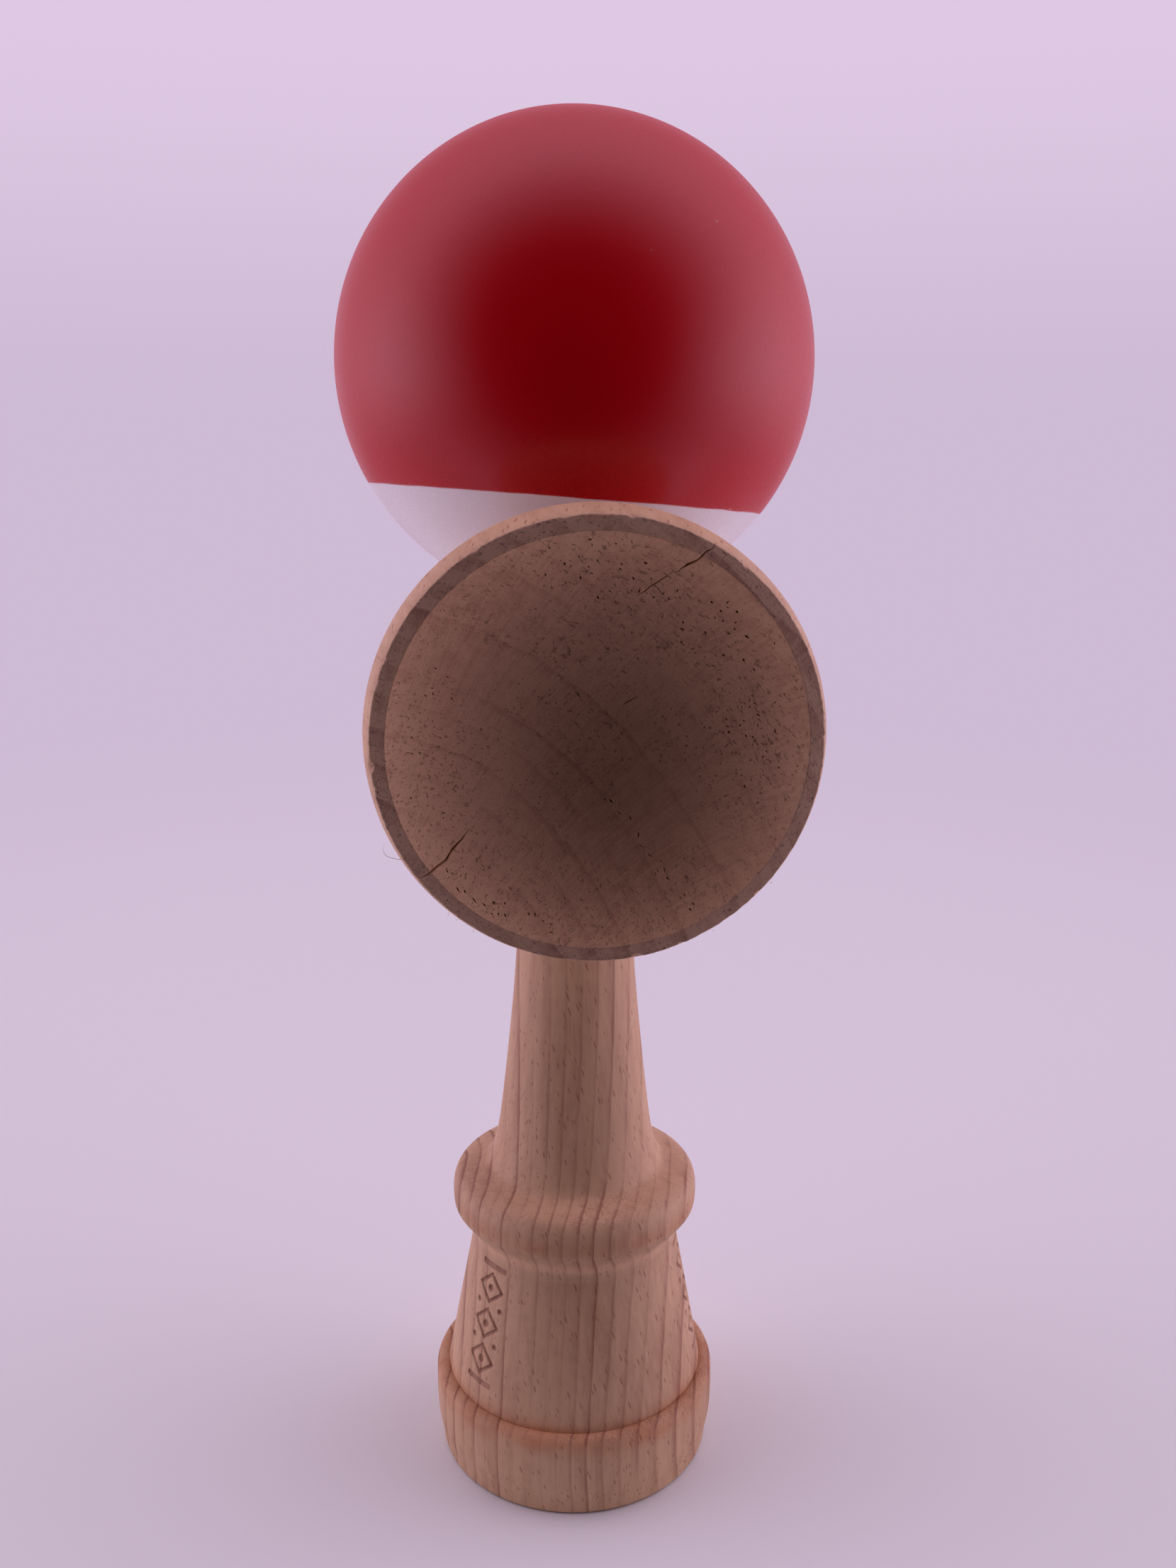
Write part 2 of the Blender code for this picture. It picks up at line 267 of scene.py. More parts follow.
def ken_outline():
    """Down the outside of the ken, from the tip of its spike to the hollow of its base cup."""
    spike_round = SPIKE_TIP - SPIKE_TIP_RADIUS
    tip = [(0.0, SPIKE_TIP), *arc((0.0, spike_round), SPIKE_TIP_RADIUS, 90, 8, 12)[1:]]
    bow = 0.35
    steps = 60
    flank = []
    for i in range(1, steps):
        share = i / steps
        straight = tip[-1][0] + (SPIKE_FOOT_RADIUS - tip[-1][0]) * share
        height = tip[-1][1] + (SPIKE_FOOT - tip[-1][1]) * share
        flank.append((straight + bow * math.sin(math.pi * share), height))
    span = SEAT_FOOT - NECK_FOOT
    neck = flowing(
        [
            (NECK_TOP_RADIUS, SEAT_FOOT - 0.5),
            (NECK_TOP_RADIUS + 0.3, NECK_FOOT + 0.72 * span),
            (NECK_TOP_RADIUS + 1.1, NECK_FOOT + 0.44 * span),
            (NECK_TOP_RADIUS + 2.3, NECK_FOOT + 0.2 * span),
            (NECK_FOOT_RADIUS - 0.45, NECK_FOOT + 3.2),
            (NECK_FOOT_RADIUS, NECK_FOOT),
            (NECK_FOOT_RADIUS + 0.6, NECK_FOOT - 2.6),
            (NECK_FOOT_RADIUS + 1.5, NECK_FOOT - 4.9),
            (COLLAR_RADIUS - 3.9, COLLAR_HIGH + 1.7),
            (COLLAR_RADIUS - 2.3, COLLAR_HIGH + 1.2),
            (COLLAR_RADIUS - 1.0, COLLAR_HIGH + 0.6),
            (COLLAR_RADIUS - 0.3, COLLAR_HIGH - 0.3),
            (COLLAR_RADIUS, COLLAR_HIGH - 1.6),
            (COLLAR_RADIUS - 0.05, COLLAR_LOW),
            (COLLAR_RADIUS - 0.45, COLLAR_LOW - 0.9),
            (COLLAR_RADIUS - 1.65, COLLAR_LOW - 2.4),
            (BODY_TOP_RADIUS + 0.2, BODY_TOP + 1.7),
            (BODY_TOP_RADIUS, BODY_TOP),
        ],
        10,
    )
    crest = 1.3
    foot = RING_FOOT_RADIUS - BASE_RIM_OUTER
    hollow = dish(BASE_RIM_INNER, 0.0, BASE_CUP_DEPTH, 40)
    return dense(
        [
            *tip,
            *flank,
            (SPIKE_FOOT_RADIUS, SPIKE_FOOT),
            (SEAT_RADIUS, SEAT_FOOT),
            (NECK_TOP_RADIUS - 0.5, SEAT_FOOT),
            *arc((NECK_TOP_RADIUS - 0.5, SEAT_FOOT - 0.5), 0.5, 80, 10, 4),
            *neck,
            (GROOVE_RADIUS + 0.3, GROOVE_HEIGHT + 0.5),
            (GROOVE_RADIUS, GROOVE_HEIGHT),
            *arc((RING_RADIUS - 0.05 - crest, RING_TOP - crest), crest, 118, 0, 14),
            *flowing(
                [(RING_RADIUS, 8.5), (RING_RADIUS - 0.15, 5.0), (RING_FOOT_RADIUS + 0.12, 2.4)], 6
            ),
            *arc((BASE_RIM_OUTER, foot), foot, 0, -90, 8),
            *((r, -z) for r, z in hollow),
        ],
        KEN_SPACING,
    )


def cup_outline(reach, rim, lip, depth):
    """One half of the sarado, from the middle of its cup round the lip to the waist."""
    edge = reach - LIP_BEVEL
    swell = rim + 0.8
    soft = 0.12
    wall = flowing(
        [
            (rim, edge - soft),
            (swell - 0.15, edge - 2.5),
            (swell, edge - 5.5),
            (swell - 1.4, edge - 8.8),
            (WAIST_RADIUS + 0.42 * (swell - WAIST_RADIUS), edge - 17.2),
            (WAIST_RADIUS + 0.6, edge - 25.6),
            (WAIST_RADIUS, edge - 33.0),
        ],
        12,
    )
    hollow = dish(lip, reach, depth, 84)
    face = dense([(lip, reach), (lip + soft, reach), (rim - soft, edge + 0.3 * soft)], 0.12)
    return [*reversed(hollow), *face[1:], *wall]


def sarado_outline():
    """Both cups and the waist between them, from the middle of one cup to that of the other."""
    big = cup_outline(BIG_CUP_REACH, BIG_CUP_RIM, BIG_CUP_LIP, BIG_CUP_DEPTH)
    small = cup_outline(SMALL_CUP_REACH, SMALL_CUP_RIM, SMALL_CUP_LIP, SMALL_CUP_DEPTH)
    return dense([*big, *((r, -z) for r, z in reversed(small))], SARADO_SPACING)


def tama_outline():
    """Down the outside of the ball, into its bevelled mouth and up the bore to the string hole."""
    top = math.degrees(math.acos(STRING_HOLE_RADIUS / TAMA_RADIUS))
    mouth = -math.degrees(math.acos(MOUTH_RADIUS / TAMA_RADIUS))
    mouth_height = TAMA_RADIUS * math.sin(math.radians(mouth))
    cone_end = BORE_END + (BORE_RADIUS - CHAMBER_RADIUS) * math.tan(DRILL_POINT)
    soft = 0.5
    return dense(
        [
            *arc((0.0, 0.0), TAMA_RADIUS, top, mouth, 300),
            (MOUTH_RADIUS - soft, mouth_height - 0.4 * soft),
            (BORE_RADIUS + soft, mouth_height + BEVEL_DEPTH - soft),
            (BORE_RADIUS, mouth_height + BEVEL_DEPTH + soft),
            (BORE_RADIUS, BORE_END),
            (CHAMBER_RADIUS, cone_end),
            (CHAMBER_RADIUS, CHAMBER_END),
            (STRING_HOLE_RADIUS, CHAMBER_END),
        ],
        TAMA_SPACING,
    )


def bead_outline():
    """Down the outside of the barrel-shaped bead."""
    half = BEAD_LENGTH / 2
    end_radius = STRING_HOLE_RADIUS + 0.8
    belly = flowing(
        [(end_radius, half), (0.86 * BEAD_RADIUS, 0.72 * half), (BEAD_RADIUS, 0.0),
         (0.86 * BEAD_RADIUS, -0.72 * half), (end_radius, -half)],
        10,
    )
    return [(STRING_HOLE_RADIUS, half), *belly, (STRING_HOLE_RADIUS, -half)]


# ---------------------------------------------------------------- turned meshes


def columns(count, fine=()):
    """Angles round a piece in radians, with finer ones in the (start, end, step) degree spans."""
    angles = set(np.round(np.linspace(0, 360, count, endpoint=False), 4))
    for start, end, step in fine:
        angles |= set(np.round(np.arange(start, end, step) % 360, 4))
    return np.radians(sorted(angles))


def waves(points, seed, length, count=14):
    """Smooth noise from -1 to 1 at the (n, d) points, with bumps about this long."""
    rng = np.random.default_rng(seed)
    directions = rng.normal(size=(count, points.shape[-1]))
    directions /= np.linalg.norm(directions, axis=1, keepdims=True)
    rates = 2 * math.pi / length * rng.uniform(0.6, 1.6, count)
    phases = rng.uniform(0, 2 * math.pi, count)
    total = np.zeros(points.shape[:-1])
    for direction, rate, phase in zip(directions, rates, phases):
        total += np.sin(points @ direction * rate + phase)
    return total / math.sqrt(count / 2) / 2


def revolve(name, outline, angles, shape=None, closed=False):
    """A mesh turned about Z from an outline that runs down its outside.

    shape(radius, angle, height) may return changed radii and heights, and named values to store
    at each point for the materials to read.
    """
    outline = np.array(outline)
    count = len(angles)
    radius = np.repeat(outline[:, :1], count, axis=1)
    height = np.repeat(outline[:, 1:], count, axis=1)
    angle = np.repeat(angles[None, :], len(outline), axis=0)
    marks = {}
    if shape:
        radius, height, marks = shape(radius, angle, height)
    keep = np.ones(radius.shape, bool)
    keep[outline[:, 0] < 1e-6, 1:] = False
    index = np.cumsum(keep).reshape(keep.shape) - 1
    index[outline[:, 0] < 1e-6] = index[outline[:, 0] < 1e-6][:, :1]
    points = np.stack([radius * np.cos(angle), radius * np.sin(angle), height], -1)[keep]
    upper, lower = index[:-1], index[1:]
    if closed:
        upper, lower = index, np.roll(index, -1, axis=0)
    quads = np.stack([upper, lower, np.roll(lower, -1, axis=1), np.roll(upper, -1, axis=1)], -1)
    faces = [list(dict.fromkeys(quad)) for quad in quads.reshape(-1, 4).tolist()]
    piece = mesh_object(name, (points * MM).tolist(), faces)
    for key, values in marks.items():
        stored = piece.data.attributes.new(key, "FLOAT", "POINT")
        stored.data.foreach_set("value", values[keep].astype(np.float32))
    return piece


def smooth(piece):
    """Shade the piece smooth, apart from its real edges."""
    piece.data.shade_smooth()
    piece.data.set_sharp_from_angle(angle=SHARP_ANGLE)


def lean(piece, place, axis):
    """Turn a piece's mesh so that its Z axis runs along axis, and stand the piece at place."""
    turn = Vector((0, 0, 1)).rotation_difference(Vector(axis))
    piece.data.transform(turn.to_matrix().to_4x4())
    piece.location = place


def mesh_object(name, points, faces):
    """A new object in the scene with this mesh, in metres."""
    mesh = bpy.data.meshes.new(name)
    mesh.from_pydata(points, [], faces)
    piece = bpy.data.objects.new(name, mesh)
    bpy.context.scene.collection.objects.link(piece)
    return piece


def round_cutter(radius, top_radius, start, end):
    """A round cutter between two points of the piece's own frame, in millimetres."""
    start, end = Vector(start) * MM, Vector(end) * MM
    mesh = bpy.data.meshes.new("cutter")
    shape = bmesh.new()
    bmesh.ops.create_cone(
        shape, cap_ends=True, segments=64, radius1=radius * MM, radius2=top_radius * MM,
        depth=(end - start).length,
    )
    turn = Vector((0, 0, 1)).rotation_difference(end - start).to_matrix().to_4x4()
    shape.transform(Matrix.Translation((start + end) / 2) @ turn)
    shape.to_mesh(mesh)
    shape.free()
    cutter = bpy.data.objects.new("cutter", mesh)
    bpy.context.scene.collection.objects.link(cutter)
    return cutter


def cut_all(piece, cutters):
    """Take the cutters out of the piece, both still in the piece's own frame, and drop them."""
    for cutter in cutters:
        cutting = piece.modifiers.new("cut", "BOOLEAN")
        cutting.operation = "DIFFERENCE"
        cutting.solver = "EXACT"
        cutting.object = cutter
    bpy.context.view_layer.update()
    evaluated = piece.evaluated_get(bpy.context.evaluated_depsgraph_get())
    mesh = bpy.data.meshes.new_from_object(evaluated)
    piece.modifiers.clear()
    piece.data = mesh
    for cutter in cutters:
        bpy.data.objects.remove(cutter, do_unlink=True)


# ---------------------------------------------------------------- material building blocks


class Nodes:
    """Short names for the nodes of a tree."""

    def __init__(self, tree):
        self.tree = tree

    def node(self, kind, **settings):
        made = self.tree.nodes.new(kind)
        for key, value in settings.items():
            setattr(made, key, value)
        return made

    def feed(self, socket, value):
        """Link the socket to another one, or set its value."""
        if isinstance(value, bpy.types.NodeSocket):
            self.tree.links.new(value, socket)
        else:
            socket.default_value = value

    def calc(self, operation, *values, clamp=False):
        made = self.node("ShaderNodeMath", operation=operation, use_clamp=clamp)
        for socket, value in zip(made.inputs, values):
            self.feed(socket, value)
        return made.outputs[0]

    def vector(self, operation, *values):
        made = self.node("ShaderNodeVectorMath", operation=operation)
        for socket, value in zip(made.inputs, values):
            self.feed(socket, value)
        return made.outputs["Value" if operation in ("LENGTH", "DOT_PRODUCT") else "Vector"]

    def join(self, x, y, z):
        """One vector from three numbers."""
        made = self.node("ShaderNodeCombineXYZ")
        for socket, value in zip(made.inputs, (x, y, z)):
            self.feed(socket, value)
        return made.outputs[0]

    def split(self, vector):
        """The three numbers of a vector."""
        made = self.node("ShaderNodeSeparateXYZ")
        self.feed(made.inputs[0], vector)
        return made.outputs

    def noise(self, vector, scale=1.0, detail=2.0, roughness=0.5, colour=False):
        made = self.node("ShaderNodeTexNoise")
        self.feed(made.inputs["Vector"], vector)
        self.feed(made.inputs["Scale"], scale)
        self.feed(made.inputs["Detail"], detail)
        self.feed(made.inputs["Roughness"], roughness)
        return made.outputs["Color" if colour else 0]

    def cells(self, vector):
        """The distance to the nearest of scattered points, and that point's own colour."""
        made = self.node("ShaderNodeTexVoronoi", feature="F1")
        self.feed(made.inputs["Vector"], vector)
        self.feed(made.inputs["Scale"], 1.0)
        return made.outputs["Distance"], made.outputs["Color"]

    def ramp(self, value, low, high, at_low, at_high):
        """From at_low where the value is low to at_high where it is high, smoothly."""
        made = self.node("ShaderNodeMapRange", interpolation_type="SMOOTHSTEP")
        self.feed(made.inputs["Value"], value)
        bounds = {"From Min": low, "From Max": high, "To Min": at_low, "To Max": at_high}
        for key, number in bounds.items():
            self.feed(made.inputs[key], number)
        return made.outputs[0]

    def step(self, value, low, high):
        """0 below low and 1 above high, smoothly; the other way round if low is above high."""
        if low > high:
            return self.ramp(value, high, low, 1.0, 0.0)
        return self.ramp(value, low, high, 0.0, 1.0)

    def mix(self, share, a, b, blend="MIX"):
        made = self.node("ShaderNodeMix", data_type="RGBA", blend_type=blend)
        self.feed(made.inputs["Factor"], share)
        sockets = [s for s in made.inputs if s.type == "RGBA"]
        for socket, value in zip(sockets, (a, b)):
            self.feed(socket, (*value, 1.0) if isinstance(value, tuple) else value)
        return next(s for s in made.outputs if s.type == "RGBA")


class Shading(Nodes):
    """A Principled material and the nodes that feed it."""

    def __init__(self, name):
        self.material = bpy.data.materials.new(name)
        self.material.use_nodes = True
        super().__init__(self.material.node_tree)
        self.shader = self.tree.nodes["Principled BSDF"]

    def bump(self, height, distance, strength):
        made = self.node("ShaderNodeBump")
        made.inputs["Strength"].default_value = strength
        made.inputs["Distance"].default_value = distance
        self.feed(made.inputs["Height"], height)
        self.tree.links.new(made.outputs[0], self.shader.inputs["Normal"])

    def local(self):
        """The piece's own coordinates in millimetres."""
        made = self.node("ShaderNodeTexCoord")
        return self.vector("MULTIPLY", made.outputs["Object"], (1000.0, 1000.0, 1000.0))

    def mark(self, name):
        """A value stored at the points of the mesh, or 0 where none is stored."""
        return self.node("ShaderNodeAttribute", attribute_name=name).outputs["Fac"]


class Grain:
    """Where a point lies in the wood, whose pith runs along the piece's own Z at (x, y) = pith.

    The growth layers, rays and pores are laid out round the pith in three dimensions, so a
    turned surface cuts them as it cuts real wood.
    """

    def __init__(self, s, pith, seed):
        self.s = s
        own = s.local()
        self.place = s.vector("ADD", own, (seed, 0.7 * seed, 1.3 * seed))
        drift = s.noise(self.stretched(0.035, 0.010), colour=True)
        drift = s.vector("MULTIPLY", s.vector("SUBTRACT", drift, (0.5, 0.5, 0.5)), (3.5, 3.5, 0.0))
        x, y, _ = s.split(s.vector("ADD", own, drift))
        self.z = s.split(self.place)[2]
        across, up = s.calc("SUBTRACT", x, pith[0]), s.calc("SUBTRACT", y, pith[1])
        self.off_axis = s.vector("LENGTH", s.join(x, y, 0.0))
        self.away = s.vector("LENGTH", s.join(across, up, 0.0))
        self.around = s.calc("MULTIPLY", s.calc("ARCTAN2", up, across), math.hypot(*pith))

    def stretched(self, across, fibre):
        """Coordinates scaled alike across the fibres and otherwise along them."""
        return self.s.vector("MULTIPLY", self.place, (across, across, fibre))

    def along(self, radial, tangent, fibre, slope=0.0):
        """Coordinates scaled apart for the three directions of the wood."""
        calc = self.s.calc
        way = calc("MULTIPLY_ADD", self.z, slope, self.away) if slope else self.away
        return self.s.join(
            calc("MULTIPLY", way, radial),
            calc("MULTIPLY", self.around, tangent),
            calc("MULTIPLY", self.z, fibre),
        )


def growth_layers(s, grain, ring):
    """Pale early wood that darkens into a fine late line, then starts again, layer by layer.

    Returns the share of the way through the layer, how strong the layer is, its dark late wood
    and its fine line.
    """
    wobble = s.noise(grain.stretched(0.22, 0.015))
    year = s.calc("MULTIPLY_ADD", wobble, 0.3, s.calc("DIVIDE", grain.away, ring))
    share = s.calc("FRACT", year)
    count = s.node("ShaderNodeTexWhiteNoise", noise_dimensions="1D")
    s.feed(count.inputs["W"], s.calc("FLOOR", year))
    weight = s.calc("MULTIPLY_ADD", count.outputs["Value"], 0.8, 0.2)
    patch = s.step(s.noise(grain.stretched(0.10, 0.035)), 0.28, 0.62)
    weight = s.calc("MULTIPLY", weight, s.calc("MULTIPLY_ADD", patch, 0.75, 0.25))
    last = s.step(share, 1.0, 0.95)
    late = s.calc("MULTIPLY", s.calc("MULTIPLY", s.step(share, 0.25, 0.95), last), weight)
    line = s.calc("MULTIPLY", s.calc("MULTIPLY", s.step(share, 0.72, 0.92), last), weight)
    return share, weight, late, line


def ray_dashes(s, grain):
    """Rays cut lengthwise: short slanting dashes on the sides."""
    dash, tone = s.cells(grain.along(2.3, 2.8, 0.50, slope=0.34))
    size = s.calc("MULTIPLY_ADD", s.split(tone)[0], 0.60, -0.27)
    return s.step(s.calc("SUBTRACT", dash, size), 0.10, -0.08)


def open_pores(s, grain, late):
    """Fine tubes along the fibres, crowded in the early wood and in some places."""
    crowd = s.noise(grain.stretched(0.10, 0.03))
    crowd = s.calc("MULTIPLY_ADD", s.calc("SUBTRACT", 0.5, late), 0.30, crowd)
    pore, tone = s.cells(grain.along(1.9, 2.7, 0.3))
    size = s.calc("MULTIPLY_ADD", crowd, 0.9, -0.42)
    size = s.calc("MULTIPLY", size, s.split(tone)[1])
    return s.step(s.calc("SUBTRACT", pore, size), 0.05, -0.02)


def torn_grain(s, grain):
    """Ragged specks where the tool tore the end grain, in patches and mostly away from the axis."""
    where = s.noise(grain.stretched(0.085, 0.03), detail=2.0)
    outer = s.step(grain.off_axis, 7.0, 20.0)
    where = s.step(s.calc("MULTIPLY_ADD", outer, 0.18, where), 0.42, 0.70)
    torn = s.step(s.noise(grain.along(3.0, 1.4, 1.0), detail=3.0, roughness=0.75), 0.57, 0.72)
    return s.calc("MULTIPLY", torn, where)


def wood(name, pith, ring, end_tone, lines=1.0, pits=1.0, seed=0.0):
    """Solid beech: ring is the growth layers' thickness in mm; lines and pits weigh their looks."""
    s = Shading(name)
    grain = Grain(s, pith, seed)
    share, weight, late, line = growth_layers(s, grain, ring)
    fibre = s.noise(grain.along(3.4, 3.4, 0.09), detail=3.0, roughness=0.65)
    band = s.noise(grain.along(0.75, 0.75, 0.03))
    cloud = s.noise(grain.stretched(0.055, 0.03))
    flake = s.noise(grain.along(0.35, 3.0, 0.5), detail=1.0)
    ray = s.noise(grain.along(0.10, 4.2, 0.35), detail=2.0, roughness=0.7)
    felt = s.noise(grain.along(5.0, 6.5, 1.0), detail=2.0, roughness=0.7)

    # end grain shows where the piece faces along its fibres
    turned = s.calc("ABSOLUTE", s.split(s.node("ShaderNodeTexCoord").outputs["Normal"])[2])
    end = s.step(turned, 0.25, 0.9)
    dashes = s.calc("MULTIPLY", ray_dashes(s, grain), s.calc("SUBTRACT", 1.0, end))
    open_tubes = open_pores(s, grain, late)
    pores = s.calc("MULTIPLY", open_tubes, end)
    torn = s.calc("MULTIPLY", torn_grain(s, grain), end)

    # tone: 0 is light wood and 1 is dark wood
    def sway(value, strength, tone, where=None):
        """Add a pattern to the tone, both ways from its middle, everywhere or only somewhere."""
        centred = s.calc("SUBTRACT", value, 0.5)
        centred = centred if where is None else s.calc("MULTIPLY", centred, where)
        return s.calc("MULTIPLY_ADD", centred, strength, tone)

    # The flat rims get a darker, greyer tint below, which is painted shade; their growth blocks are
    # real grain
    rim = s.mark("rim")
    tone = s.calc("MULTIPLY_ADD", late, 0.45 * lines, 0.14)
    sharper = s.calc("MULTIPLY", line, s.calc("MULTIPLY_ADD", end, 0.9, 0.55))
    tone = s.calc("MULTIPLY_ADD", sharper, lines, tone)
    tone = sway(fibre, 0.55, tone)
    tone = sway(band, 0.80, tone)
    tone = sway(cloud, 0.80, tone)
    tone = sway(flake, 0.30, tone)
    tone = sway(ray, pits, tone, where=end)
    tone = sway(felt, 1.1, tone, where=end)
    block = s.calc("SUBTRACT", s.step(share, 0.42, 0.5), s.calc("SUBTRACT", 1.0, weight))
    tone = s.calc("MULTIPLY_ADD", s.calc("MULTIPLY", block, rim), 0.34, tone, clamp=True)

    colour = s.mix(tone, BEECH_LIGHT, BEECH_DARK)
    colour = s.mix(s.calc("MULTIPLY", dashes, 0.58), colour, FLECK)
    colour = s.mix(s.calc("MULTIPLY", pores, 0.60 * pits), colour, PIT)
    colour = s.mix(s.calc("MULTIPLY", torn, 0.85 * pits), colour, PIT)
    # Of the two marks loaded here, the first is wear on the base ring's crest and painted shade on
    # the collar's upright face
    rubbed_and_shaded, painted_cove_light = s.mark("rubbed_and_shaded"), s.mark("painted_cove_light")
    # The tint for the second mark above is painted light on the cove under the collar
    for where, tint in ((end, end_tone), (rim, RIM_SHADE_TONE), (rubbed_and_shaded, RUBBED_AND_SHADE_TONE), (painted_cove_light, COVE_LIGHT_TONE)):
        colour = s.mix(where, colour, tint, blend="MULTIPLY")
    colour = s.mix(s.calc("MULTIPLY", s.mark("burnt"), 0.80), colour, BURNT)
    s.feed(s.shader.inputs["Base Color"], colour)

    rough = s.calc("MULTIPLY_ADD", fibre, 0.20, WOOD_ROUGHNESS)
    s.feed(s.shader.inputs["Roughness"], s.calc("MULTIPLY_ADD", open_tubes, 0.25, rough, clamp=True))
    s.shader.inputs["Specular IOR Level"].default_value = 0.36
    height = s.calc("MULTIPLY_ADD", fibre, 0.30, s.calc("MULTIPLY", line, 0.15))
    height = s.calc("MULTIPLY_ADD", s.calc("MULTIPLY", felt, end), 1.7, height)
    height = s.calc("MULTIPLY_ADD", pores, -2.2, height)
    height = s.calc("MULTIPLY_ADD", torn, -5.0 * pits, height)
    height = s.calc("MULTIPLY_ADD", dashes, -0.35, height)
    s.bump(height, WOOD_BUMP, 0.6)
    return s.material


def paint(name):
    """Satin red over the ball, white below its paint line; the edge wanders by a hair."""
    s = Shading(name)
    place = s.local()
    wander = s.noise(s.vector("MULTIPLY", place, (0.20, 0.20, 0.05)), detail=1.0)
    height = s.vector("DOT_PRODUCT", place, tuple(TAMA_AXIS))
    height = s.calc("MULTIPLY_ADD", s.calc("SUBTRACT", wander, 0.5), 0.25, height)
    red_side = s.step(height, PAINT_LINE - PAINT_SOFT, PAINT_LINE + PAINT_SOFT)
    mottle = s.noise(place, scale=0.09, detail=3.0)
    red = s.mix(mottle, RED_LOW, RED_HIGH)
    white = s.mix(mottle, WHITE_LOW, WHITE_HIGH)
    colour = s.mix(red_side, white, red)
    speck_distance, _ = s.cells(s.vector("MULTIPLY", place, (0.15, 0.15, 0.15)))
    speck = s.step(speck_distance, 0.022, 0.012)
    colour = s.mix(s.calc("MULTIPLY", speck, 0.8), colour, SPECK)
    s.feed(s.shader.inputs["Base Color"], colour)
    fine = s.noise(place, scale=2.6, detail=3.0, roughness=0.6)
    s.feed(s.shader.inputs["Roughness"], s.calc("MULTIPLY_ADD", fine, 0.06, PAINT_ROUGHNESS - 0.03))
    s.shader.inputs["Specular IOR Level"].default_value = 0.35
    s.shader.inputs["Sheen Weight"].default_value = 0.43
    s.shader.inputs["Sheen Roughness"].default_value = 0.45
    s.feed(s.shader.inputs["Sheen Tint"], s.mix(red_side, (1.0, 0.95, 0.97), (1.0, 0.0, 0.02)))
    s.bump(s.calc("MULTIPLY_ADD", speck, 6.0, fine), PAINT_BUMP, 0.3)
    return s.material


def plain_stage(name, colour):
    """Matt floor that fades out towards its edge, so that it meets the backdrop without a line."""
    s = Shading(name)
    s.shader.inputs["Base Color"].default_value = (*colour, 1.0)
    s.shader.inputs["Roughness"].default_value = 0.9
    s.shader.inputs["Specular IOR Level"].default_value = 0.1
    x, y, _ = s.split(s.local())
    away = s.vector("LENGTH", s.join(x, s.calc("SUBTRACT", y, FLOOR_SHIFT / MM), 0.0))
    front = s.step(y, -FLOOR_FRONT_END / MM, -FLOOR_FRONT / MM)
    spread = s.step(away, FLOOR_END / MM, FLOOR_FADE / MM)
    s.feed(s.shader.inputs["Alpha"], s.calc("MULTIPLY", front, spread))
    return s.material


# ---------------------------------------------------------------- ken


def burnt_ornament(along, up):
    """How deeply the ornament is burnt, 0 to 1: three open lozenges with dots between two bars."""
    burnt = np.zeros_like(along)
    for centre in (-5.2, 0.0, 5.2):
        edge = np.abs(along) / 2.7 + np.abs(up - centre) / 2.3
        burnt = np.maximum(burnt, 1 - np.clip((np.abs(edge - 0.86) - 0.09) / 0.07, 0, 1))
        dot = np.hypot(along, up - centre)
        burnt = np.maximum(burnt, 1 - np.clip((dot - 0.42) / 0.16, 0, 1))
    for side in (-2.3, 2.3):
        for level in (-2.6, 2.6):
            dot = np.hypot(along - side, up - level)
            burnt = np.maximum(burnt, 1 - np.clip((dot - 0.28) / 0.16, 0, 1))
    for bar in (-8.4, 8.4):
        rod = np.maximum(np.abs(along) - 2.4, np.abs(up - bar) - 0.24)
        burnt = np.maximum(burnt, 1 - np.clip(rod / 0.16, 0, 1))
    return burnt


def shape_ken(radius, angle, height):
    """Turning ripples, dents and burnt ornaments; where the wood is burnt; where the base ring's
    crest is worn and painted shade darkens the collar's upright face; and where painted light
    brightens the cove under the collar.
    """
    place = np.stack([radius * np.cos(angle), radius * np.sin(angle), height], -1)
    hollow = (height < BASE_CUP_DEPTH + 0.1) & (radius < BASE_RIM_INNER + 0.2)
    outside = (radius > 3.0) & ~hollow
    turning = 0.018 * waves(np.stack([height, height * 0], -1), seed=3, length=2.1)
    uneven = 0.03 * waves(place, seed=5, length=26.0)
    changed = radius + np.where(outside, np.clip(turning + uneven, -0.06, 0.0), 0.0)
    burnt = np.zeros_like(radius)
    for centre in ORNAMENTS:
        around = (angle - centre + math.pi) % (2 * math.pi) - math.pi
        along, up = around * radius, height - ORNAMENT_HEIGHT
        near = (np.abs(along) < 5) & (np.abs(up) < 10) & (radius < RING_RADIUS - 1.5)
        depth = np.where(near, burnt_ornament(along, up), 0.0)
        changed = changed - 0.26 * depth
        burnt = np.maximum(burnt, depth * (0.80 + 0.20 * waves(place, seed=8, length=1.3)))
    for around, level, wide in DENTS:
        gap = (angle - math.radians(around) + math.pi) % (2 * math.pi) - math.pi
        away = ((gap * radius) / (1.6 * wide)) ** 2 + ((height - level) / wide) ** 2
        changed = changed - np.where(outside, 0.2 * wide * np.exp(-away), 0.0)
    crest = np.exp(-(((height - RING_TOP + 0.7) / 1.7) ** 2)) * (radius > GROOVE_RADIUS - 0.2)
    # Painted shade: a darker band on the collar's upright face, which turns to the dark front
    edge = 0.75 * np.exp(-(((height - COLLAR_LOW - 0.9) / 1.4) ** 2)) * (radius > COLLAR_RADIUS - 1.2)
    rubbed_and_shaded = np.maximum(crest, edge) * (0.75 + 0.35 * waves(place, seed=9, length=5.0))
    # Painted light: a lighter band on the cove under the collar, where light from the floor falls
    painted_cove_light = np.exp(-(((height - COLLAR_LOW + 3.5) / 1.1) ** 2)) * (radius < COLLAR_RADIUS - 0.8)
    marks = {"burnt": np.clip(burnt, 0, 1), "rubbed_and_shaded": np.clip(rubbed_and_shaded, 0, 1), "painted_cove_light": painted_cove_light}
    return changed, height, marks


